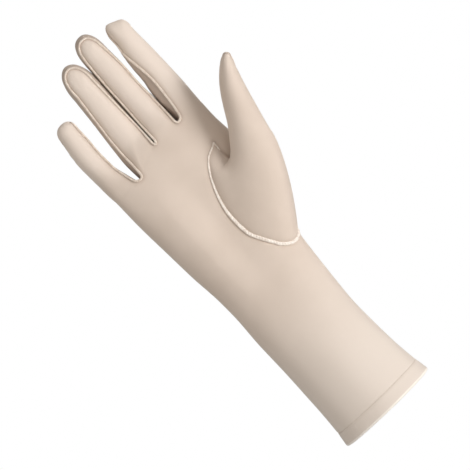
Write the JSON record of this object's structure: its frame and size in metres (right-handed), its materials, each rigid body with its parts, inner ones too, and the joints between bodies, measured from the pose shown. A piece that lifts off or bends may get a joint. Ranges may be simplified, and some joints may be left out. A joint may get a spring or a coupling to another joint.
{
  "type": "compression glove",
  "caption": "Forearm-length compression glove for the right hand in smooth stretch knit, with closed fingers, side walls between them and a set-in thumb.",
  "frame": {"origin": "middle of the cuff's opening", "axes": "+Z from the cuff to the fingertips, +X towards the thumb, -Y the palm's side"},
  "size_m": [0.1216, 0.0705, 0.3122],
  "materials": {
    "knit": "smooth fine stretch knit, semi-matte",
    "seam": "overlocked thread"
  },
  "bodies": {
    "root": {"trank": "knit", "fourchette": "knit", "thumb": "knit", "cuff_hem": "knit", "palm_seam": "seam", "back_seam": "seam", "thumb_seam": "seam", "thumb_closing_seam": "seam"}
  },
  "joints": []
}
